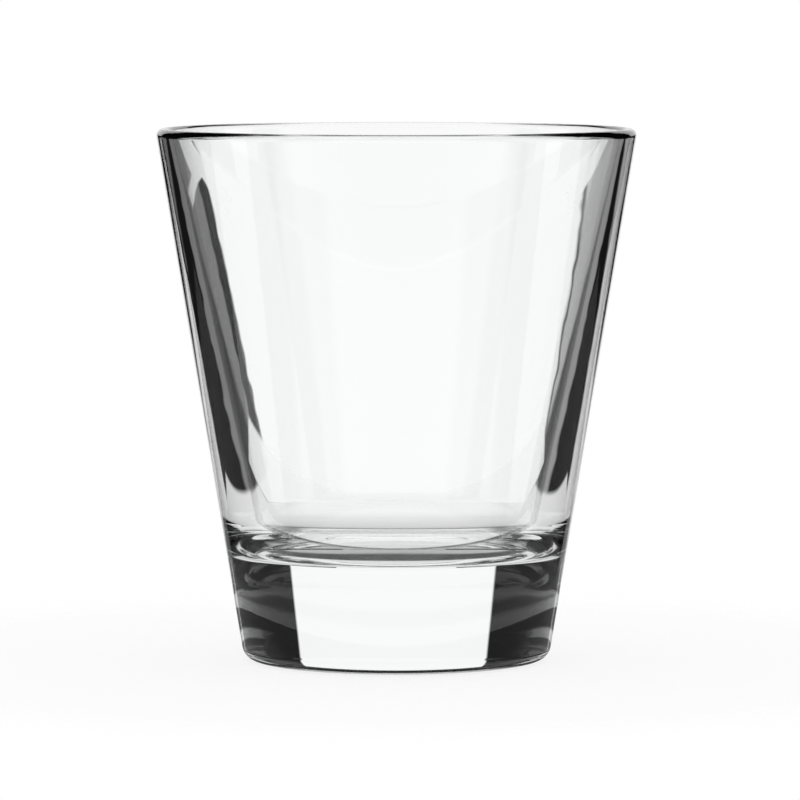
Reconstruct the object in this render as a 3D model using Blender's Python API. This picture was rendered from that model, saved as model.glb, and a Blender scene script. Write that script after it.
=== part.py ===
"""Rocks glass: one turned piece of clear pressed glass with a heavy solid base.

Run with: blender --background --python part.py
Metres, +Z up. The origin is the centre of the ring that the glass stands on.
"""

import math

import bpy

# Overall sizes
HEIGHT = 0.0955
RIM_DIAMETER = 0.0860
BASE_DIAMETER = 0.0548

# Walls and floor
LIP_THICKNESS = 0.0025
WALL_AT_FLOOR = 0.0064
FLOOR_THICKNESS = 0.0189

# Rounds
HEEL_RADIUS = 0.0027
CORNER_RADIUS = 0.0094
FLOOR_DISH_RADIUS = 0.4000

# Underside
STANDING_RING_WIDTH = 0.0080
PUNT_DEPTH = 0.0013

# Facets
TURN_STEPS = 72
FLOOR_STEPS = 5
CORNER_STEPS = 8
LIP_STEPS = 5
HEEL_STEPS = 6
PUNT_STEPS = 4

# Glass
GLASS_TINT = (0.97, 0.985, 0.98, 1.0)
GLASS_INDEX = 1.52
GLASS_ROUGHNESS = 0.02
SHARP_ANGLE = math.radians(35)
MERGE_DISTANCE = 0.00001


def clear_scene():
    """Remove every object that the file opens with."""
    for obj in list(bpy.data.objects):
        bpy.data.objects.remove(obj, do_unlink=True)


def arc(centre, radius, start, end, steps):
    """Points on an arc of the profile, from the start angle to the end angle, both included."""
    turns = [start + (end - start) * i / steps for i in range(steps + 1)]
    return [(centre[0] + radius * math.cos(a), centre[1] + radius * math.sin(a)) for a in turns]


def lean_past_circle(point, centre, radius, side):
    """Angle from the vertical of the line up from a point that touches a circle.

    The circle lies above the point. With side 1 the line touches its outer side, and with -1 its inner side.
    """
    across = centre[0] - point[0]
    up = centre[1] - point[1]
    return math.atan2(across, up) + side * math.asin(radius / math.hypot(across, up))


def lip():
    """Centre and radius of the full round of the rim."""
    radius = LIP_THICKNESS / 2
    return (RIM_DIAMETER / 2 - radius, HEIGHT - radius), radius


def outer_lean():
    """Lean of the outer wall, from the sharp edge of the base up to the lip."""
    centre, radius = lip()
    return lean_past_circle((BASE_DIAMETER / 2, 0.0), centre, radius, 1)


def outer_radius(height):
    """Radius of the straight outer wall at a height."""
    return BASE_DIAMETER / 2 + height * math.tan(outer_lean())


def wall_foot():
    """Point where the straight inner wall, run down, meets the level of the floor."""
    return outer_radius(FLOOR_THICKNESS) - WALL_AT_FLOOR, FLOOR_THICKNESS


def inner_lean():
    """Lean of the inner wall, from its foot up to the lip."""
    centre, radius = lip()
    return lean_past_circle(wall_foot(), centre, radius, -1)


def inner_corner():
    """Centre of the round that touches both the inner wall and the dished floor."""
    lean = inner_lean()
    foot = wall_foot()
    start = (foot[0] - CORNER_RADIUS / math.cos(lean), foot[1])
    dish_centre = FLOOR_THICKNESS + FLOOR_DISH_RADIUS
    along = (math.sin(lean), math.cos(lean))
    back = (start[0], start[1] - dish_centre)
    half = back[0] * along[0] + back[1] * along[1]
    gap = back[0] ** 2 + back[1] ** 2 - (FLOOR_DISH_RADIUS - CORNER_RADIUS) ** 2
    step = -half - math.sqrt(half ** 2 - gap)
    return start[0] + step * along[0], start[1] + step * along[1]


def inside_profile():
    """Dished floor and inner corner, from the axis outwards to the foot of the straight wall."""
    corner = inner_corner()
    dish_centre = (0.0, FLOOR_THICKNESS + FLOOR_DISH_RADIUS)
    meeting = math.atan2(corner[1] - dish_centre[1], corner[0])
    floor = arc(dish_centre, FLOOR_DISH_RADIUS, -math.pi / 2, meeting, FLOOR_STEPS)
    floor[0] = (0.0, FLOOR_THICKNESS)
    return floor + arc(corner, CORNER_RADIUS, meeting, -inner_lean(), CORNER_STEPS)[1:]


def rim_profile():
    """Full round of the lip, from the inner wall over the top to the outer wall."""
    centre, radius = lip()
    inner_side = arc(centre, radius, math.pi - inner_lean(), math.pi / 2, LIP_STEPS)
    outer_side = arc(centre, radius, math.pi / 2, 0.0, LIP_STEPS)
    return inner_side + outer_side[1:] + arc(centre, radius, 0.0, -outer_lean(), 1)[1:]


def heel_profile():
    """Round between the outer wall and the standing ring, from the wall downwards."""
    lean = outer_lean()
    ring_edge = BASE_DIAMETER / 2 - HEEL_RADIUS * math.tan((math.pi / 2 - lean) / 2)
    return arc((ring_edge, HEEL_RADIUS), HEEL_RADIUS, -lean, -math.pi / 2, HEEL_STEPS)


def punt_profile(ring_inner):
    """Shallow hollow under the base, from the inside of the standing ring to the axis."""
    radius = (ring_inner ** 2 + PUNT_DEPTH ** 2) / (2 * PUNT_DEPTH)
    centre = (0.0, PUNT_DEPTH - radius)
    edge = math.atan2(-centre[1], ring_inner)
    hollow = arc(centre, radius, edge, math.pi / 2, PUNT_STEPS)
    hollow[0] = (ring_inner, 0.0)
    hollow[-1] = (0.0, PUNT_DEPTH)
    return hollow


def tumbler_profile():
    """Whole half section, from the inner floor over the lip and down to the middle of the underside."""
    heel = heel_profile()
    ring_inner = heel[-1][0] - STANDING_RING_WIDTH
    return inside_profile() + rim_profile() + heel + punt_profile(ring_inner)


def clear_glass():
    """Clear soda-lime glass with a polished surface."""
    material = bpy.data.materials.new("clear_glass")
    material.use_nodes = True
    shader = material.node_tree.nodes["Principled BSDF"]
    shader.inputs["Base Color"].default_value = GLASS_TINT
    shader.inputs["Metallic"].default_value = 0.0
    shader.inputs["Roughness"].default_value = GLASS_ROUGHNESS
    shader.inputs["IOR"].default_value = GLASS_INDEX
    shader.inputs["Transmission Weight"].default_value = 1.0
    return material


def turned(name, profile, material):
    """Object made by turning a half section once round the Z axis."""
    mesh = bpy.data.meshes.new(name)
    points = [(radius, 0.0, height) for radius, height in profile]
    mesh.from_pydata(points, [(i, i + 1) for i in range(len(points) - 1)], [])
    mesh.materials.append(material)
    obj = bpy.data.objects.new(name, mesh)
    bpy.context.scene.collection.objects.link(obj)
    screw = obj.modifiers.new("turn", "SCREW")
    screw.axis = "Z"
    screw.angle = 2 * math.pi
    screw.steps = TURN_STEPS
    screw.render_steps = TURN_STEPS
    screw.use_merge_vertices = True
    screw.merge_threshold = MERGE_DISTANCE
    return obj


def shade_round(obj):
    """Bake the turned form into the mesh and shade it smooth, with sharp edges kept."""
    graph = bpy.context.evaluated_depsgraph_get()
    solid = bpy.data.meshes.new_from_object(obj.evaluated_get(graph))
    obj.modifiers.clear()
    obj.data = solid
    solid.shade_smooth()
    solid.set_sharp_from_angle(angle=SHARP_ANGLE)


def main():
    """Build the glass."""
    clear_scene()
    tumbler = turned("tumbler", tumbler_profile(), clear_glass())
    shade_round(tumbler)


main()
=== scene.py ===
"""Looks of the rocks glass: a fine turned mesh of clear pressed glass in a bright studio with dark flags.

Metres, +Z up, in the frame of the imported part. Angles are in degrees where nothing else is said.
"""

import logging
import math
from dataclasses import dataclass, field, replace
from enum import Enum
from functools import partial, reduce
from typing import Sequence, Union

import bpy
import numpy as np
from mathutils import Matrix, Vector


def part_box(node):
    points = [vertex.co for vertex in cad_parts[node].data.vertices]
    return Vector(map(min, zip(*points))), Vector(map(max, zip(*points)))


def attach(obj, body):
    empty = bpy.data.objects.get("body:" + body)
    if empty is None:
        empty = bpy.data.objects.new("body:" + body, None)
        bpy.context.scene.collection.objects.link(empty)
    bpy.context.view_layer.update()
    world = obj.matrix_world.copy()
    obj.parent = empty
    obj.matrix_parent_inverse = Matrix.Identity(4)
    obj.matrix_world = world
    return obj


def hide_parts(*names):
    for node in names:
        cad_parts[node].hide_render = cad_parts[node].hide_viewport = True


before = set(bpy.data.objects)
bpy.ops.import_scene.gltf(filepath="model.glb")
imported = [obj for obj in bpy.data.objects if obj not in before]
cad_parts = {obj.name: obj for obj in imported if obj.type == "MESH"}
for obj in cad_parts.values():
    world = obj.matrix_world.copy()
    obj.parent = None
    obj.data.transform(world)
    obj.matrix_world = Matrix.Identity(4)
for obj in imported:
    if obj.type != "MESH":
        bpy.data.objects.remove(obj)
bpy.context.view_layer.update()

log = logging.getLogger("rocks_glass")

NODE = "tumbler"
BODY = "root"
GLASS_SLOT = "clear_glass"
MM = 0.001
HALF_TURN = 180.0
END_GUARD = 0.04 * MM  # one more point this near to each end of a straight stretch keeps its shading flat
WORLD_COUNT = 1  # a ray that reaches the world counts its end as one more face

Point = tuple[float, float]
Colour = tuple[float, float, float, float]
Socket = bpy.types.NodeSocket
Number = Union[float, Socket]


class RayKind(Enum):
    """Kinds of ray that the set tells apart, by the name of their Light Path output."""

    CAMERA = "Is Camera Ray"
    MIRRORED = "Is Glossy Ray"
    REFRACTED = "Is Transmission Ray"


class Side(Enum):
    """Side of a circle that a line touches, as the sign of the turn away from its middle."""

    INNER = -1
    OUTER = 1


@dataclass(frozen=True)
class Edge:
    """Soft edge of a mask: where its middle lies and how far it spreads to each side."""

    at: float
    soft: float


class NodeBench:
    """Small set of tools that place shader nodes in one tree and wire them up."""

    def __init__(self, tree: bpy.types.NodeTree) -> None:
        """Keep the tree that the nodes go into."""
        self.tree = tree

    def place(self, kind: str, **values: object) -> bpy.types.Node:
        """Place a node and set its own properties.

        Args:
            kind: Type name of the node.
            values: Properties of the node, by name.

        Returns:
            The new node.
        """
        node = self.tree.nodes.new(kind)
        for name, value in values.items():
            setattr(node, name, value)
        return node

    def feed(self, socket: Socket, value: object) -> None:
        """Wire a socket into an input, or set the input to a plain value.

        Args:
            socket: Input to feed.
            value: Output socket, number or colour.
        """
        if isinstance(value, bpy.types.NodeSocket):
            self.tree.links.new(value, socket)
        else:
            socket.default_value = value

    def sum(self, operation: str, *values: Number) -> Socket:
        """Work out one Math operation.

        Args:
            operation: Name of the operation.
            values: Its inputs, in order.

        Returns:
            The result.
        """
        node = self.place("ShaderNodeMath", operation=operation)
        for socket, value in zip(node.inputs, values):
            self.feed(socket, value)
        return node.outputs[0]

    def step(self, value: Number, start: Number, end: Number) -> Socket:
        """Rise smoothly from 0 to 1 between two values, or fall where the end comes first.

        Args:
            value: Value that is tested.
            start: Value where the result is 0.
            end: Value where the result is 1.

        Returns:
            The mask.
        """
        node = self.place("ShaderNodeMapRange", interpolation_type="SMOOTHSTEP")
        for name, number in (("Value", value), ("From Min", start), ("From Max", end)):
            self.feed(node.inputs[name], number)
        return node.outputs["Result"]

    def rise(self, value: Number, edge: Edge) -> Socket:
        """Go from 0 to 1 over a soft edge."""
        return self.step(value, edge.at - edge.soft, edge.at + edge.soft)

    def fall(self, value: Number, edge: Edge) -> Socket:
        """Go from 1 to 0 over a soft edge."""
        return self.step(value, edge.at + edge.soft, edge.at - edge.soft)

    def between(self, value: Number, low: Edge, high: Edge) -> Socket:
        """Mask the stretch between two soft edges."""
        return self.overlap(self.rise(value, low), self.fall(value, high))

    def overlap(self, *masks: Number) -> Socket:
        """Multiply masks, so that only what they have in common is left."""
        return reduce(partial(self.sum, "MULTIPLY"), masks)

    def join(self, *masks: Number) -> Socket:
        """Take the largest of several masks, so that each of them shows."""
        return reduce(partial(self.sum, "MAXIMUM"), masks)

    def blend(self, mask: Number, low: Number, high: Number) -> Socket:
        """Go from one value to another by a mask.

        Args:
            mask: Share of the second value.
            low: Value where the mask is 0.
            high: Value where the mask is 1.

        Returns:
            The mixed value.
        """
        node = self.place("ShaderNodeMix", data_type="FLOAT")
        for place, value in ((0, mask), (2, low), (3, high)):
            self.feed(node.inputs[place], value)
        return node.outputs[0]

    def coat(self, mask: Number, low: bpy.types.Node, high: bpy.types.Node) -> bpy.types.Node:
        """Go from one shader to another by a mask.

        Args:
            mask: Share of the second shader.
            low: Shader where the mask is 0.
            high: Shader where the mask is 1.

        Returns:
            The mixed shader.
        """
        node = self.place("ShaderNodeMixShader")
        for place, value in enumerate((mask, low.outputs[0], high.outputs[0])):
            self.feed(node.inputs[place], value)
        return node

    def any_ray(self, *kinds: RayKind) -> Socket:
        """Test for rays of the kinds given."""
        path = self.place("ShaderNodeLightPath")
        return self.join(*(path.outputs[kind.value] for kind in kinds))

    def past_faces(self, least: int) -> Socket:
        """Test for refracted rays that have met a number of glass faces.

        Args:
            least: Smallest number of faces that counts.

        Returns:
            1 for such a ray, else 0.
        """
        path = self.place("ShaderNodeLightPath")
        many = self.sum("GREATER_THAN", path.outputs["Ray Depth"], least - 0.5)
        return self.overlap(many, path.outputs[RayKind.REFRACTED.value])


def arc(centre: Point, radius: float, start: float, end: float, steps: int) -> list[Point]:
    """Lay points along an arc of the half section, from one angle in radians to another."""
    turns = np.linspace(start, end, steps + 1)
    return [(centre[0] + radius * math.cos(a), centre[1] + radius * math.sin(a)) for a in turns]


def line(start: Point, end: Point, steps: int) -> list[Point]:
    """Lay points along a straight stretch of the half section, both ends included.

    Args:
        start: First point.
        end: Last point.
        steps: Number of even chords, before the points near the ends are added.

    Returns:
        The points.
    """
    guard = END_GUARD / math.dist(start, end)
    shares = [0.0, guard, *np.linspace(0.0, 1.0, steps + 1)[1:-1], 1 - guard, 1.0]
    return [(start[0] + (end[0] - start[0]) * s, start[1] + (end[1] - start[1]) * s) for s in shares]


def touching_lean(foot: Point, centre: Point, radius: float, side: Side) -> float:
    """Find the lean from the vertical, in radians, of the line up from a foot that touches a circle."""
    across, up = centre[0] - foot[0], centre[1] - foot[1]
    return math.atan2(across, up) + side.value * math.asin(radius / math.hypot(across, up))


def turned(section: Sequence[Point], steps: int) -> tuple[list, list, list]:
    """Turn a half section that starts and ends on the axis once round.

    Args:
        section: Points from the axis round the outside and back to the axis.
        steps: Facets in one turn.

    Returns:
        Vertices, edges and faces for a mesh.
    """
    rings = section[1:-1]
    turns = [2 * math.pi * i / steps for i in range(steps)]
    points = [(r * math.cos(a), r * math.sin(a), z) for r, z in rings for a in turns]
    first, last = len(points), len(points) + 1
    points += [(0.0, 0.0, section[0][1]), (0.0, 0.0, section[-1][1])]
    faces = []
    for i in range(steps):
        j = (i + 1) % steps
        faces.append((first, i, j))
        for k in range(len(rings) - 1):
            a, b = k * steps, (k + 1) * steps
            faces.append((a + i, b + i, b + j, a + j))
        end = (len(rings) - 1) * steps
        faces.append((last, end + j, end + i))
    return points, [], faces


@dataclass(frozen=True)
class ClearGlass:
    """Finish of the tumbler: colourless soda-lime glass, fire polished, a little scuffed where it stands."""

    index: float = 1.52
    tint: Colour = (0.992, 0.997, 0.994, 1.0)
    body_colour: Colour = (0.80, 0.93, 0.88, 1.0)
    body_density: float = 0.6
    polish: float = 0.0
    scuffed: float = 0.22
    scuff_top: float = 0.35 * MM
    scuff_size: float = 1.5 * MM
    scuff_patches: Edge = Edge(0.55, 0.2)
    ripple_size: float = 9.0 * MM
    ripple_detail: float = 1.0
    ripple_depth: float = 0.012 * MM

    def make(self) -> bpy.types.Material:
        """Make the material.

        Returns:
            The glass material.
        """
        material = bpy.data.materials.new(GLASS_SLOT)
        material.use_nodes = True
        bench = NodeBench(material.node_tree)
        shader = material.node_tree.nodes["Principled BSDF"]
        shader.inputs["Base Color"].default_value = self.tint
        shader.inputs["Metallic"].default_value = 0.0
        shader.inputs["IOR"].default_value = self.index
        shader.inputs["Transmission Weight"].default_value = 1.0
        bench.feed(shader.inputs["Roughness"], self.scuffs(bench))
        bench.feed(shader.inputs["Normal"], self.ripple(bench))
        body = bench.place("ShaderNodeVolumeAbsorption")
        body.inputs["Color"].default_value = self.body_colour
        body.inputs["Density"].default_value = self.body_density
        output = material.node_tree.nodes["Material Output"]
        bench.feed(output.inputs["Volume"], body.outputs["Volume"])
        return material

    def scuffs(self, bench: NodeBench) -> Socket:
        """Roughen the standing ring in fine patches and leave the rest polished.

        Args:
            bench: Tools for the material's tree.

        Returns:
            The roughness.
        """
        place = bench.place("ShaderNodeTexCoord").outputs["Object"]
        height = bench.place("ShaderNodeSeparateXYZ")
        bench.feed(height.inputs[0], place)
        low = bench.step(height.outputs["Z"], self.scuff_top, 0.0)
        grain = bench.place("ShaderNodeTexNoise")
        bench.feed(grain.inputs["Vector"], place)
        grain.inputs["Scale"].default_value = 1 / self.scuff_size
        patches = bench.rise(grain.outputs[0], self.scuff_patches)
        return bench.blend(bench.overlap(low, patches), self.polish, self.scuffed)

    def ripple(self, bench: NodeBench) -> Socket:
        """Give the surface the faint long waves of pressed glass.

        Args:
            bench: Tools for the material's tree.

        Returns:
            The normal.
        """
        waves = bench.place("ShaderNodeTexNoise")
        bench.feed(waves.inputs["Vector"], bench.place("ShaderNodeTexCoord").outputs["Object"])
        waves.inputs["Scale"].default_value = 1 / self.ripple_size
        waves.inputs["Detail"].default_value = self.ripple_detail
        bump = bench.place("ShaderNodeBump")
        bump.inputs["Strength"].default_value = 1.0
        bump.inputs["Distance"].default_value = self.ripple_depth
        bench.feed(bump.inputs["Height"], waves.outputs[0])
        return bump.outputs["Normal"]


@dataclass
class Tumbler:
    """The glass itself: one turned piece with a full round lip, straight walls and a heavy base."""

    finish: ClearGlass
    lip_thickness: float = 2.5 * MM
    base_diameter: float = 54.8 * MM
    wall_at_floor: float = 6.4 * MM
    floor_thickness: float = 18.9 * MM
    heel_radius: float = 2.7 * MM
    corner_radius: float = 9.4 * MM
    floor_dish_radius: float = 400.0 * MM
    ring_width: float = 8.0 * MM
    ring_round: float = 0.4 * MM
    punt_depth: float = 1.3 * MM
    floor_steps: int = 24
    corner_steps: int = 36
    inner_steps: int = 48
    lip_steps: int = 48
    outer_steps: int = 56
    heel_steps: int = 32
    ring_steps: int = 6
    punt_steps: int = 24
    turn_steps: int = 320
    high: Vector = field(init=False)

    def __post_init__(self) -> None:
        """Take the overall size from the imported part."""
        _, self.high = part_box(NODE)

    @property
    def lip_round(self) -> float:
        """Radius of the full round of the lip."""
        return self.lip_thickness / 2

    @property
    def lip_centre(self) -> Point:
        """Middle of the full round of the lip."""
        return self.high.x - self.lip_round, self.high.z - self.lip_round

    @property
    def outer_lean(self) -> float:
        """Lean of the outer wall, in radians."""
        return touching_lean((self.base_diameter / 2, 0.0), self.lip_centre, self.lip_round, Side.OUTER)

    @property
    def wall_foot(self) -> Point:
        """Point where the straight inner wall, run down, meets the level of the floor."""
        outer = self.base_diameter / 2 + self.floor_thickness * math.tan(self.outer_lean)
        return outer - self.wall_at_floor, self.floor_thickness

    @property
    def inner_lean(self) -> float:
        """Lean of the inner wall, in radians."""
        return touching_lean(self.wall_foot, self.lip_centre, self.lip_round, Side.INNER)

    @property
    def dish_centre(self) -> Point:
        """Middle of the arc that dishes the floor."""
        return 0.0, self.floor_thickness + self.floor_dish_radius

    def inner_corner(self) -> Point:
        """Find the middle of the round that touches both the inner wall and the dished floor.

        Returns:
            The middle of the round.
        """
        along = Vector((math.sin(self.inner_lean), math.cos(self.inner_lean)))
        start = Vector(self.wall_foot) - Vector((self.corner_radius / math.cos(self.inner_lean), 0.0))
        back = start - Vector(self.dish_centre)
        half = back.dot(along)
        gap = back.length_squared - (self.floor_dish_radius - self.corner_radius) ** 2
        middle = start + along * (-half - math.sqrt(half ** 2 - gap))
        return middle.x, middle.y

    def inside(self) -> list[Point]:
        """Lay out the inner side, from the middle of the floor up to the lip.

        Returns:
            The points of the inner side.
        """
        corner = self.inner_corner()
        meeting = math.atan2(corner[1] - self.dish_centre[1], corner[0])
        floor = arc(self.dish_centre, self.floor_dish_radius, -math.pi / 2, meeting, self.floor_steps)
        bend = arc(corner, self.corner_radius, meeting, -self.inner_lean, self.corner_steps)
        wall = line(bend[-1], self.lip_over()[0], self.inner_steps)
        return floor + bend[1:] + wall[1:-1]

    def lip_over(self) -> list[Point]:
        """Lay out the lip, from the inner wall over the top to the outer wall."""
        start, end = math.pi - self.inner_lean, -self.outer_lean
        return arc(self.lip_centre, self.lip_round, start, end, self.lip_steps)

    def outside(self) -> list[Point]:
        """Lay out the outer side, from the lip down round the heel to the standing ring.

        Returns:
            The points of the outer side.
        """
        lean = self.outer_lean
        edge = self.base_diameter / 2 - self.heel_radius * math.tan((math.pi / 2 - lean) / 2)
        heel = arc((edge, self.heel_radius), self.heel_radius, -lean, -math.pi / 2, self.heel_steps)
        wall = line(self.lip_over()[-1], heel[0], self.outer_steps)
        return wall[1:-1] + heel

    def underside(self, ring_edge: float) -> list[Point]:
        """Lay out the standing ring and the hollow inside it, inwards to the axis.

        Args:
            ring_edge: Outer radius of the standing ring.

        Returns:
            The points of the underside.
        """
        inner = ring_edge - self.ring_width
        ring = line((ring_edge, 0.0), (inner + self.ring_round, 0.0), self.ring_steps)
        shares = np.linspace(0.0, 1.0, self.punt_steps + 1)[1:]
        hollow = [(inner * (1 - s), self.punt_depth * (1 - (1 - s) ** 2)) for s in shares]
        return ring[1:] + hollow

    def build(self) -> bpy.types.Object:
        """Turn the half section into a closed mesh.

        Returns:
            The glass.
        """
        outer = self.outside()
        section = self.inside() + self.lip_over() + outer + self.underside(outer[-1][0])
        mesh = bpy.data.meshes.new(NODE + "_glass")
        mesh.from_pydata(*turned(section, self.turn_steps))
        mesh.materials.append(self.finish.make())
        mesh.shade_smooth()
        glass = bpy.data.objects.new(NODE + "_glass", mesh)
        bpy.context.scene.collection.objects.link(glass)
        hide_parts(NODE)
        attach(glass, BODY)
        return glass


@dataclass(frozen=True)
class Window:
    """Opening or flag in the surround, by its turn and rise in degrees."""

    middle: float
    half: float
    foot: float
    top: float
    light: float = 1.0
    side_soft: float = 0.5
    rise_soft: float = 1.5

    def pair(self) -> tuple["Window", "Window"]:
        """Give the window and its twin on the other side."""
        return self, replace(self, middle=-self.middle)


@dataclass(frozen=True)
class TableSide:
    """What lies beside the white runner on one side, measured over the height above the table."""

    runner_edge: float
    runner_flare: float
    line_end: Edge
    grey_light: float
    card_end: Edge
    far_light: float
    wing_from: float
    wing_slope: float


@dataclass(frozen=True)
class Way:
    """Direction that light comes from: turn and rise, and the place over the height above the table."""

    turn: Socket
    rise: Socket
    aside: Socket
    out: Socket
    away: Socket


@dataclass
class Surround:
    """Studio around the glass: a white back, a white runner on the table, dark flags and a light floor."""

    dark: float = 0.008
    white: float = 1.0
    ceiling: Edge = Edge(50.0, 8.0)
    horizon: Edge = Edge(-1.0, 0.5)
    behind: Edge = Edge(0.0, 0.3)
    least_drop: float = 0.003
    # the table behind the glass
    left: TableSide = TableSide(
        runner_edge=1.25,
        runner_flare=0.04,
        line_end=Edge(0.16, 0.02),
        grey_light=0.26,
        card_end=Edge(4.5, 0.2),
        far_light=0.24,
        wing_from=-4.01,
        wing_slope=2.05,
    )
    right: TableSide = TableSide(
        runner_edge=1.262,
        runner_flare=0.142,
        line_end=Edge(0.03, 0.02),
        grey_light=0.60,
        card_end=Edge(4.3, 0.2),
        far_light=0.34,
        wing_from=1.30,
        wing_slope=0.0,
    )
    runner_reach: float = 7.0
    runner_side: Edge = Edge(0.0, 0.02)
    line_light: float = 0.02
    card_side: Edge = Edge(1.05, 0.04)
    far_grey: Edge = Edge(2.15, 0.03)
    wing_side: Edge = Edge(1.9, 0.1)
    wing_end: Edge = Edge(0.0, 0.1)
    table_end: Edge = Edge(2.75, 0.05)
    # the white back and the opening above it
    back_middle: float = -1.5
    back_half: Edge = Edge(26.5, 1.0)
    back_foot: float = -7.5
    back_side_foot: float = -8.0
    back_side_from: float = 16.0
    back_foot_edge: Edge = Edge(0.0, 0.2)
    back_top: float = 1.0
    back_low_top: float = -6.8
    back_low_from: float = 14.0
    back_top_edge: Edge = Edge(0.0, 0.4)
    behind_base: Window = Window(1.2, 26.8, 1.0, 24.0, rise_soft=1.0)
    # the light floor and its dark gaps
    floor_from: float = -21.0
    floor_edge: Edge = Edge(0.0, 1.5)
    floor_drop: float = 5.0
    floor_drop_from: Edge = Edge(50.0, 6.0)
    floor_drop_to: Edge = Edge(100.0, 6.0)
    floor_light: float = 0.95
    gap_foot: Edge = Edge(-60.0, 4.0)
    gap_top: Edge = Edge(-15.0, 0.8)
    gap_inner: Edge = Edge(9.5, 1.0)
    gap_outer: Edge = Edge(34.0, 2.0)
    # the openings at the sides and the room on the camera's side
    windows: tuple[Window, ...] = (
        *Window(90.0, 12.0, -27.0, 16.0).pair(),
        *Window(110.0, 10.0, -9.0, 2.0).pair(),
    )
    front_from: Edge = Edge(118.0, 3.0)
    front_foot: Edge = Edge(-30.0, 2.0)
    front_top: Edge = Edge(18.0, 5.0)
    front_light: float = 0.95
    # what light finds that has met this many glass faces
    once_back: int = 3
    camera_side: Window = Window(180.0, 25.0, -25.0, -6.0, 0.12, side_soft=3.0, rise_soft=2.0)
    many_faces: int = 5
    late_top: Edge = Edge(-3.0, 1.0)
    late_half: Edge = Edge(60.0, 3.0)
    late_windows: tuple[Window, ...] = (
        Window(63.0, 19.5, -4.0, 12.0, side_soft=1.0, rise_soft=1.0),
        Window(-59.0, 23.0, -4.0, 12.0, side_soft=1.0, rise_soft=1.0),
    )
    last_faces: int = 7
    last_flags: tuple[Window, ...] = (
        *Window(94.0, 46.0, -14.0, 20.0, 0.008, side_soft=4.0, rise_soft=3.0).pair(),
    )
    spent_faces: int = 9
    spent_top: Edge = Edge(40.0, 2.0)
    spent_light: float = 0.03

    def build(self) -> bpy.types.World:
        """Make the world and hand it to the scene.

        Returns:
            The world.
        """
        world = bpy.data.worlds.new("surround")
        world.use_nodes = True
        bpy.context.scene.world = world
        bench = NodeBench(world.node_tree)
        light = world.node_tree.nodes["Background"]
        light.inputs["Color"].default_value = (1.0, 1.0, 1.0, 1.0)
        in_glass = bench.any_ray(RayKind.MIRRORED, RayKind.REFRACTED)
        bench.feed(light.inputs["Strength"], bench.blend(in_glass, self.white, self.shade(bench)))
        return world

    def way(self, bench: NodeBench) -> Way:
        """Work out the direction that is looked in.

        Args:
            bench: Tools for the world's tree.

        Returns:
            The direction.
        """
        parts = bench.place("ShaderNodeSeparateXYZ")
        bench.feed(parts.inputs[0], bench.place("ShaderNodeTexCoord").outputs["Generated"])
        x, y, z = parts.outputs
        turn = bench.sum("DEGREES", bench.sum("ARCTAN2", x, y))
        drop = bench.sum("MAXIMUM", bench.sum("MULTIPLY", z, -1.0), self.least_drop)
        return Way(
            turn=turn,
            rise=bench.sum("DEGREES", bench.sum("ARCSINE", z)),
            aside=bench.sum("ABSOLUTE", turn),
            out=bench.sum("DIVIDE", bench.sum("ABSOLUTE", x), drop),
            away=bench.sum("DIVIDE", y, drop),
        )

    def shade(self, bench: NodeBench) -> Socket:
        """Light the surround by direction, as the glass shows it.

        Args:
            bench: Tools for the world's tree.

        Returns:
            Brightness of the surround.
        """
        way = self.way(bench)
        light = bench.blend(bench.rise(way.rise, self.ceiling), self.dark, self.white)
        light = bench.blend(self.on_table(bench, way), light, self.table(bench, way))
        light = bench.blend(self.back(bench, way), light, self.white)
        light = self.hang(bench, way, light, self.behind_base)
        light = bench.blend(self.floor(bench, way), light, self.floor_light)
        light = bench.blend(self.gap(bench, way), light, self.dark)
        light = self.late(bench, way, light)
        light = self.hang(bench, way, light, *self.windows)
        light = bench.blend(self.front(bench, way), light, self.front_light)
        light = self.hang(bench, way, light, self.camera_side, rays=self.sent_back(bench))
        light = self.hang(bench, way, light, *self.last_flags, rays=self.after(bench, self.last_faces))
        spent = bench.overlap(self.after(bench, self.spent_faces), bench.fall(way.rise, self.spent_top))
        return bench.blend(spent, light, self.spent_light)

    def after(self, bench: NodeBench, faces: int) -> Socket:
        """Test for light that has met at least so many glass faces on its way to the surround."""
        return bench.past_faces(faces + WORLD_COUNT)

    def sent_back(self, bench: NodeBench) -> Socket:
        """Test for light that a face inside the glass has sent back: three faces, or five and more.

        Args:
            bench: Tools for the world's tree.

        Returns:
            1 for such light, else 0.
        """
        counts = (self.once_back, self.once_back + 1, self.many_faces)
        three, four, many = (self.after(bench, count) for count in counts)
        return bench.join(bench.sum("SUBTRACT", three, four), many)

    def late(self, bench: NodeBench, way: Way, light: Socket) -> Socket:
        """Darken what light that has met many faces sees low behind the glass, and light its two sides.

        Args:
            bench: Tools for the world's tree.
            way: Direction that is looked in.
            light: Brightness of the surround so far.

        Returns:
            The brightness for such light.
        """
        many = self.after(bench, self.many_faces)
        low = bench.fall(way.rise, self.late_top)
        behind = bench.fall(way.aside, self.late_half)
        light = bench.blend(bench.overlap(many, low, behind), light, self.dark)
        return self.hang(bench, way, light, *self.late_windows, rays=many)

    def front(self, bench: NodeBench, way: Way) -> Socket:
        """Mask the light room on the side of the camera."""
        level = bench.between(way.rise, self.front_foot, self.front_top)
        return bench.overlap(bench.rise(way.aside, self.front_from), level)

    def on_table(self, bench: NodeBench, way: Way) -> Socket:
        """Mask the directions that look down on the table behind the glass."""
        return bench.overlap(bench.fall(way.rise, self.horizon), bench.rise(way.away, self.behind))

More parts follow.
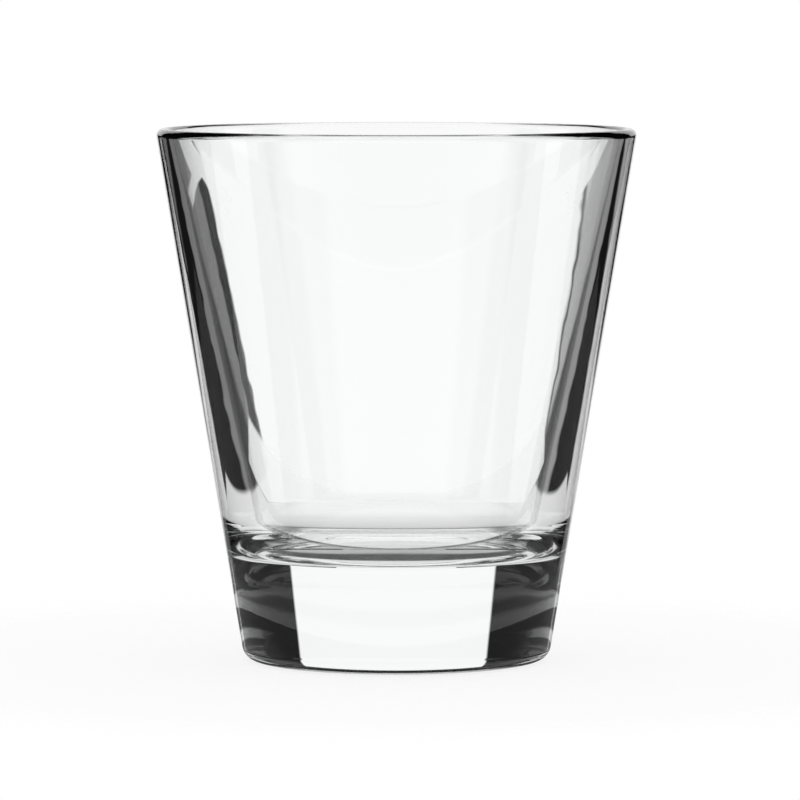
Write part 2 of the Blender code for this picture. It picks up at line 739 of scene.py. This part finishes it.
    def table(self, bench: NodeBench, way: Way) -> Socket:
        """Light the table behind the glass, each side in its own way.

        Args:
            bench: Tools for the world's tree.
            way: Direction that is looked in.

        Returns:
            The brightness.
        """
        is_right = bench.sum("GREATER_THAN", way.turn, 0.0)
        shades = [self.table_side(bench, way, side) for side in (self.left, self.right)]
        return bench.blend(is_right, *shades)

    def table_side(self, bench: NodeBench, way: Way, side: TableSide) -> Socket:
        """Light one side of the table: white runner, thin line, grey, dark card near the glass, grey again.

        Args:
            bench: Tools for the world's tree.
            way: Direction that is looked in.
            side: What lies on that side.

        Returns:
            The brightness.
        """
        nearer = bench.sum("SUBTRACT", self.runner_reach, way.away)
        edge = bench.sum("MULTIPLY_ADD", nearer, side.runner_flare, side.runner_edge)
        past = bench.sum("SUBTRACT", way.out, edge)
        light = bench.blend(bench.rise(past, self.runner_side), self.white, self.line_light)
        light = bench.blend(bench.rise(past, side.line_end), light, side.grey_light)
        card = bench.overlap(bench.fall(way.away, side.card_end), bench.rise(way.out, self.card_side))
        light = bench.blend(card, light, self.dark)
        light = bench.blend(bench.rise(way.out, self.far_grey), light, side.far_light)
        border = bench.sum("MULTIPLY_ADD", way.out, side.wing_slope, side.wing_from)
        within = bench.fall(bench.sum("SUBTRACT", way.away, border), self.wing_end)
        wing = bench.overlap(within, bench.rise(way.out, self.wing_side))
        light = bench.blend(wing, light, self.white)
        return bench.blend(bench.rise(way.out, self.table_end), light, self.dark)

    def back(self, bench: NodeBench, way: Way) -> Socket:
        """Mask the white back above the table, which is low at both sides.

        Args:
            bench: Tools for the world's tree.
            way: Direction that is looked in.

        Returns:
            The mask.
        """
        is_side = bench.sum("GREATER_THAN", way.aside, self.back_side_from)
        foot = bench.blend(is_side, self.back_foot, self.back_side_foot)
        over = bench.rise(bench.sum("SUBTRACT", way.rise, foot), self.back_foot_edge)
        is_low = bench.sum("GREATER_THAN", way.aside, self.back_low_from)
        top = bench.blend(is_low, self.back_top, self.back_low_top)
        under = bench.fall(bench.sum("SUBTRACT", way.rise, top), self.back_top_edge)
        off = bench.sum("ABSOLUTE", bench.sum("SUBTRACT", way.turn, self.back_middle))
        return bench.overlap(over, under, bench.fall(off, self.back_half))

    def gap(self, bench: NodeBench, way: Way) -> Socket:
        """Mask the dark stretches of floor on both sides of the middle."""
        level = bench.between(way.rise, self.gap_foot, self.gap_top)
        return bench.overlap(level, bench.between(way.aside, self.gap_inner, self.gap_outer))

    def floor(self, bench: NodeBench, way: Way) -> Socket:
        """Mask the light floor, which starts lower at the sides of the glass.

        Args:
            bench: Tools for the world's tree.
            way: Direction that is looked in.

        Returns:
            The mask.
        """
        sides = bench.between(way.aside, self.floor_drop_from, self.floor_drop_to)
        start = bench.sum("MULTIPLY_ADD", sides, -self.floor_drop, self.floor_from)
        return bench.fall(bench.sum("SUBTRACT", way.rise, start), self.floor_edge)

    def hang(
        self, bench: NodeBench, way: Way, light: Socket, *windows: Window, rays: Number = 1.0
    ) -> Socket:
        """Hang windows or flags in the surround.

        Args:
            bench: Tools for the world's tree.
            way: Direction that is looked in.
            light: Brightness of the surround so far.
            windows: The windows or flags.
            rays: Mask of the rays that find them.

        Returns:
            The brightness with them.
        """
        for window in windows:
            found = bench.overlap(rays, self.opening(bench, way, window))
            light = bench.blend(found, light, window.light)
        return light

    def opening(self, bench: NodeBench, way: Way, window: Window) -> Socket:
        """Mask a window or flag in the surround.

        Args:
            bench: Tools for the world's tree.
            way: Direction that is looked in.
            window: The window or flag.

        Returns:
            The mask.
        """
        off = bench.sum("WRAP", bench.sum("SUBTRACT", way.turn, window.middle), HALF_TURN, -HALF_TURN)
        across = bench.fall(bench.sum("ABSOLUTE", off), Edge(window.half, window.side_soft))
        foot, top = (Edge(at, window.rise_soft) for at in (window.foot, window.top))
        return bench.overlap(across, bench.between(way.rise, foot, top))


@dataclass(frozen=True)
class Spot:
    """Place on the table top: along x and y, across, out from the axis, and the turn aside."""

    x: Socket
    y: Socket
    across: Socket
    out: Socket
    aside: Socket


@dataclass
class Table:
    """Round white table top, which the glass shows with a strip in painted soft shadow, painted shadow under
    the foot, dark patches and a white far end.
    """

    radius: float = 700.0 * MM
    fade: Edge = Edge(105.0 * MM, 20.0 * MM)
    gap: float = 0.2 * MM
    steps: int = 96
    colour: Colour = (0.95, 0.95, 0.95, 1.0)
    shadow_share: float = 0.2
    white: float = 1.0
    mirrored_light: float = 0.02
    # the table at the sides of the glass and behind it, as the glass shows it
    side_edge: Edge = Edge(103.5 * MM, 2.0 * MM)
    side_slope: float = 0.18
    side_end: Edge = Edge(126.0 * MM, 3.0 * MM)
    side_turn: Edge = Edge(115.0, 5.0)
    side_light: float = 0.82
    open_turn: Edge = Edge(72.0, 10.0)
    open_light: float = 0.95
    board_half: Edge = Edge(95.0 * MM, 1.5 * MM)
    board_from: Edge = Edge(126.0 * MM, 6.0 * MM)
    board_end: Edge = Edge(208.0 * MM, 6.0 * MM)
    # the strip behind the glass, in a painted soft shadow that is darkest near the glass, with a thin line
    # at its near end
    strip_half: Edge = Edge(38.0 * MM, 8.0 * MM)
    strip_turn: Edge = Edge(90.0, 5.0)
    strip_foot: Edge = Edge(38.0 * MM, 2.0 * MM)
    strip_shadow_run: Edge = Edge(69.0 * MM, 26.0 * MM)
    strip_shadow_light: float = 0.55
    strip_far_light: float = 0.97
    line_end: Edge = Edge(44.5 * MM, 1.5 * MM)
    line_light: float = 0.2
    # the dark patches beside the foot, the crescent of painted shadow under it with painted shade in front
    # of it, and the patch before it
    dark_end: Edge = Edge(43.0 * MM, 3.0 * MM)
    dark_turn: Edge = Edge(50.0, 3.0)
    dark_inner: Edge = Edge(19.0 * MM, 3.0 * MM)
    dark_light: float = 0.03
    under: Edge = Edge(28.0 * MM, 1.5 * MM)
    crescent_middle: float = -16.0 * MM
    crescent_bend: float = 0.028 / MM
    crescent_half: Edge = Edge(6.5 * MM, 2.0 * MM)
    crescent_shadow_light: float = 0.05
    crescent_line: Edge = Edge(0.0, 3.0 * MM)
    under_front_shade_light: float = 0.52
    front_from: Edge = Edge(45.0 * MM, 3.0 * MM)
    front_to: Edge = Edge(64.0 * MM, 7.0 * MM)
    front_turn: Edge = Edge(125.0, 8.0)
    front_light: float = 0.1
    # the white far end and the stripe that leads to it
    far_from: Edge = Edge(612.0 * MM, 8.0 * MM)
    far_inner: Edge = Edge(115.0 * MM, 5.0 * MM)
    far_outer: Edge = Edge(230.0 * MM, 5.0 * MM)
    stripe_aside: float = 150.0 * MM
    stripe_end: float = 605.0 * MM
    stripe_lean: float = 0.175
    stripe_side: Edge = Edge(0.0, 1.5 * MM)
    stripe_width: Edge = Edge(11.0 * MM, 2.0 * MM)
    stripe_from: Edge = Edge(395.0 * MM, 10.0 * MM)
    stripe_wide: Edge = Edge(530.0 * MM, 8.0 * MM)
    # glass faces that light has met on its way to the table
    both_walls: int = 4
    many_faces: int = 5
    late_from: Edge = Edge(36.0 * MM, 6.0 * MM)
    late_light: float = 0.008

    def build(self) -> bpy.types.Object:
        """Make the table top.

        Returns:
            The table top.
        """
        mesh = bpy.data.meshes.new("table_top")
        turns = [2 * math.pi * i / self.steps for i in range(self.steps)]
        rim = [(self.radius * math.cos(a), self.radius * math.sin(a), -self.gap) for a in turns]
        mesh.from_pydata(rim, [], [tuple(range(self.steps))])
        mesh.materials.append(self.material())
        top = bpy.data.objects.new("table_top", mesh)
        bpy.context.scene.collection.objects.link(top)
        return top

    def material(self) -> bpy.types.Material:
        """Make the white of the table top, which keeps the shadow and fades out away from the glass.

        Returns:
            The material.
        """
        material = bpy.data.materials.new("white_table")
        material.use_nodes = True
        tree = material.node_tree
        tree.nodes.remove(tree.nodes["Principled BSDF"])
        bench = NodeBench(tree)
        spot = self.spot(bench)
        paint = bench.place("ShaderNodeBsdfDiffuse")
        paint.inputs["Color"].default_value = self.colour
        glow = bench.place("ShaderNodeEmission")
        bench.feed(glow.inputs["Strength"], self.glow(bench, spot))
        lit = bench.overlap(bench.any_ray(*RayKind), 1 - self.shadow_share)
        top = bench.coat(lit, paint, glow)
        top = bench.coat(self.gone(bench, spot), top, bench.place("ShaderNodeBsdfTransparent"))
        bench.feed(tree.nodes["Material Output"].inputs["Surface"], top.outputs[0])
        return material

    def spot(self, bench: NodeBench) -> Spot:
        """Work out the place on the table that is looked at.

        Args:
            bench: Tools for the material's tree.

        Returns:
            The place.
        """
        place = bench.place("ShaderNodeSeparateXYZ")
        bench.feed(place.inputs[0], bench.place("ShaderNodeTexCoord").outputs["Object"])
        x, y, _ = place.outputs
        squares = bench.sum("MULTIPLY_ADD", x, x, bench.sum("MULTIPLY", y, y))
        turn = bench.sum("DEGREES", bench.sum("ARCTAN2", x, y))
        return Spot(
            x=x,
            y=y,
            across=bench.sum("ABSOLUTE", x),
            out=bench.sum("SQRT", squares),
            aside=bench.sum("ABSOLUTE", turn),
        )

    def glow(self, bench: NodeBench, spot: Spot) -> Socket:
        """Light the table: white to the camera, in its own way through the glass with painted shadow, dark
        where mirrored.

        Args:
            bench: Tools for the material's tree.
            spot: Place on the table.

        Returns:
            The brightness.
        """
        refracted = bench.any_ray(RayKind.REFRACTED)
        mirrored = bench.sum("GREATER_THAN", bench.any_ray(RayKind.MIRRORED), refracted)
        light = bench.blend(refracted, self.white, self.seen_light(bench, spot))
        return bench.blend(mirrored, light, self.mirrored_light)

    def gone(self, bench: NodeBench, spot: Spot) -> Socket:
        """Mask where the table gives way to the surround: far out, or outside what the glass shows."""
        hidden = bench.sum("SUBTRACT", 1.0, self.seen_area(bench, spot))
        return bench.blend(bench.any_ray(RayKind.REFRACTED), bench.rise(spot.out, self.fade), hidden)

    def seen_area(self, bench: NodeBench, spot: Spot) -> Socket:
        """Mask the part of the table that the glass shows; past it the glass shows the surround.

        Args:
            bench: Tools for the material's tree.
            spot: Place on the table.

        Returns:
            The mask.
        """
        leaning = bench.sum("MULTIPLY_ADD", spot.y, self.side_slope, spot.across)
        sides = bench.overlap(
            bench.fall(leaning, self.side_edge),
            bench.fall(spot.aside, self.side_turn),
            bench.fall(spot.y, self.side_end),
        )
        along = bench.between(spot.y, self.side_end, self.board_end)
        board = bench.overlap(bench.fall(spot.across, self.board_half), along)
        far = bench.join(board, self.front_patch(bench, spot), self.far_white(bench, spot))
        far = bench.overlap(far, bench.past_faces(self.both_walls))
        return bench.join(bench.fall(spot.out, self.under), sides, far)

    def front_patch(self, bench: NodeBench, spot: Spot) -> Socket:
        """Mask the dark patch of table before the glass."""
        ring = bench.between(spot.out, self.front_from, self.front_to)
        return bench.overlap(ring, bench.rise(spot.aside, self.front_turn))

    def far_white(self, bench: NodeBench, spot: Spot) -> Socket:
        """Mask the white far end of the table, at both sides, and the white stripe to it on the left.

        Args:
            bench: Tools for the material's tree.
            spot: Place on the table.

        Returns:
            The mask.
        """
        nearer = bench.sum("SUBTRACT", self.stripe_end, spot.y)
        edge = bench.sum("MULTIPLY_ADD", nearer, self.stripe_lean, self.stripe_aside)
        past = bench.sum("SUBTRACT", bench.sum("MULTIPLY", spot.x, -1.0), edge)
        width = bench.join(bench.fall(past, self.stripe_width), bench.rise(spot.y, self.stripe_wide))
        stripe = bench.overlap(
            width,
            bench.rise(past, self.stripe_side),
            bench.rise(spot.y, self.stripe_from),
        )
        white = bench.join(stripe, bench.rise(spot.y, self.far_from))
        return bench.overlap(white, bench.between(spot.across, self.far_inner, self.far_outer))

    def seen_light(self, bench: NodeBench, spot: Spot) -> Socket:
        """Light the table as the glass shows it, with painted shadow behind and under the glass.

        Args:
            bench: Tools for the material's tree.
            spot: Place on the table.

        Returns:
            The brightness.
        """
        light = bench.blend(bench.rise(spot.aside, self.open_turn), self.side_light, self.open_light)
        light = self.strip(bench, spot, light)
        light = bench.blend(bench.rise(spot.y, self.board_from), light, self.strip_far_light)
        dark = bench.overlap(
            bench.fall(spot.out, self.dark_end),
            bench.fall(spot.aside, self.dark_turn),
            bench.rise(spot.across, self.dark_inner),
        )
        light = bench.blend(dark, light, self.dark_light)
        # painted shadow and shade on the table under the glass
        light = bench.blend(bench.fall(spot.out, self.under), light, self.shaded_under_light(bench, spot))
        light = bench.blend(self.front_patch(bench, spot), light, self.front_light)
        light = bench.blend(self.far_white(bench, spot), light, self.white)
        late = bench.overlap(bench.past_faces(self.many_faces), bench.rise(spot.y, self.late_from))
        return bench.blend(late, light, self.late_light)

    def strip(self, bench: NodeBench, spot: Spot, light: Socket) -> Socket:
        """Lay the strip behind the glass in a painted soft shadow, darker near the glass and lighter away
        from it, with a dark line at its near end.

        Args:
            bench: Tools for the material's tree.
            spot: Place on the table.
            light: Brightness of the table so far.

        Returns:
            The brightness with the strip.
        """
        on_strip = bench.overlap(
            bench.fall(spot.across, self.strip_half),
            bench.fall(spot.aside, self.strip_turn),
        )
        # painted shadow: the strip is darkest near the glass and lightens further out
        past_shadow = bench.rise(spot.out, self.strip_shadow_run)
        strip = bench.blend(past_shadow, self.strip_shadow_light, self.strip_far_light)
        strip = bench.blend(bench.fall(spot.out, self.line_end), strip, self.line_light)
        strip = bench.blend(bench.rise(spot.out, self.strip_foot), self.open_light, strip)
        return bench.blend(on_strip, light, strip)

    def shaded_under_light(self, bench: NodeBench, spot: Spot) -> Socket:
        """Light the table under the glass with painted shadow: grey painted shade in front and a dark
        crescent of painted shadow across it.

        Args:
            bench: Tools for the material's tree.
            spot: Place on the table.

        Returns:
            The brightness.
        """
        squared = bench.sum("MULTIPLY", spot.x, spot.x)
        middle = bench.sum("MULTIPLY_ADD", squared, self.crescent_bend, self.crescent_middle)
        off = bench.sum("SUBTRACT", spot.y, middle)
        # painted shade: grey in front of the crescent, light behind it
        light = bench.blend(bench.rise(off, self.crescent_line), self.under_front_shade_light, self.open_light)
        # painted shadow: the dark crescent under the glass
        crescent = bench.fall(bench.sum("ABSOLUTE", off), self.crescent_half)
        return bench.blend(crescent, light, self.crescent_shadow_light)


@dataclass
class Viewpoint:
    """Camera at the photograph's viewing angle, with its sensor in millimetres as Blender takes it."""

    distance: float = 1103.6 * MM
    height: float = 126.5 * MM
    aside: float = 0.63 * MM
    pitch: float = 4.137
    focal_pixels: float = 6155.3
    frame_pixels: float = 800.0
    sensor: float = 36.0

    def build(self) -> bpy.types.Object:
        """Make the camera and hand it to the scene.

        Returns:
            The camera.
        """
        data = bpy.data.cameras.new("viewpoint")
        data.sensor_width = self.sensor
        data.lens = self.sensor * self.focal_pixels / self.frame_pixels
        camera = bpy.data.objects.new("viewpoint", data)
        camera.location = (self.aside, -self.distance, self.height)
        camera.rotation_euler = (math.radians(90 - self.pitch), 0.0, 0.0)
        bpy.context.scene.collection.objects.link(camera)
        bpy.context.scene.camera = camera
        return camera


@dataclass(frozen=True)
class LightPaths:
    """How often light may be bent or mirrored on its way through the glass."""

    in_all: int = 32
    bent: int = 32
    mirrored: int = 16

    def use(self, scene: bpy.types.Scene) -> None:
        """Let light pass many glass faces, and show colours as they are written.

        Args:
            scene: Scene that is set.
        """
        scene.view_settings.view_transform = "Standard"
        scene.cycles.max_bounces = self.in_all
        scene.cycles.transmission_bounces = self.bent
        scene.cycles.glossy_bounces = self.mirrored


def main() -> None:
    """Build the glass, then the set around it."""
    logging.basicConfig(level=logging.INFO, format="%(message)s")
    glass = Tumbler(ClearGlass()).build()
    log.info("%s: %d faces", glass.name, len(glass.data.polygons))
    for piece in (Surround(), Table(), Viewpoint()):
        log.info("%s", piece.build().name)
    LightPaths().use(bpy.context.scene)


if __name__ == "__main__":
    main()
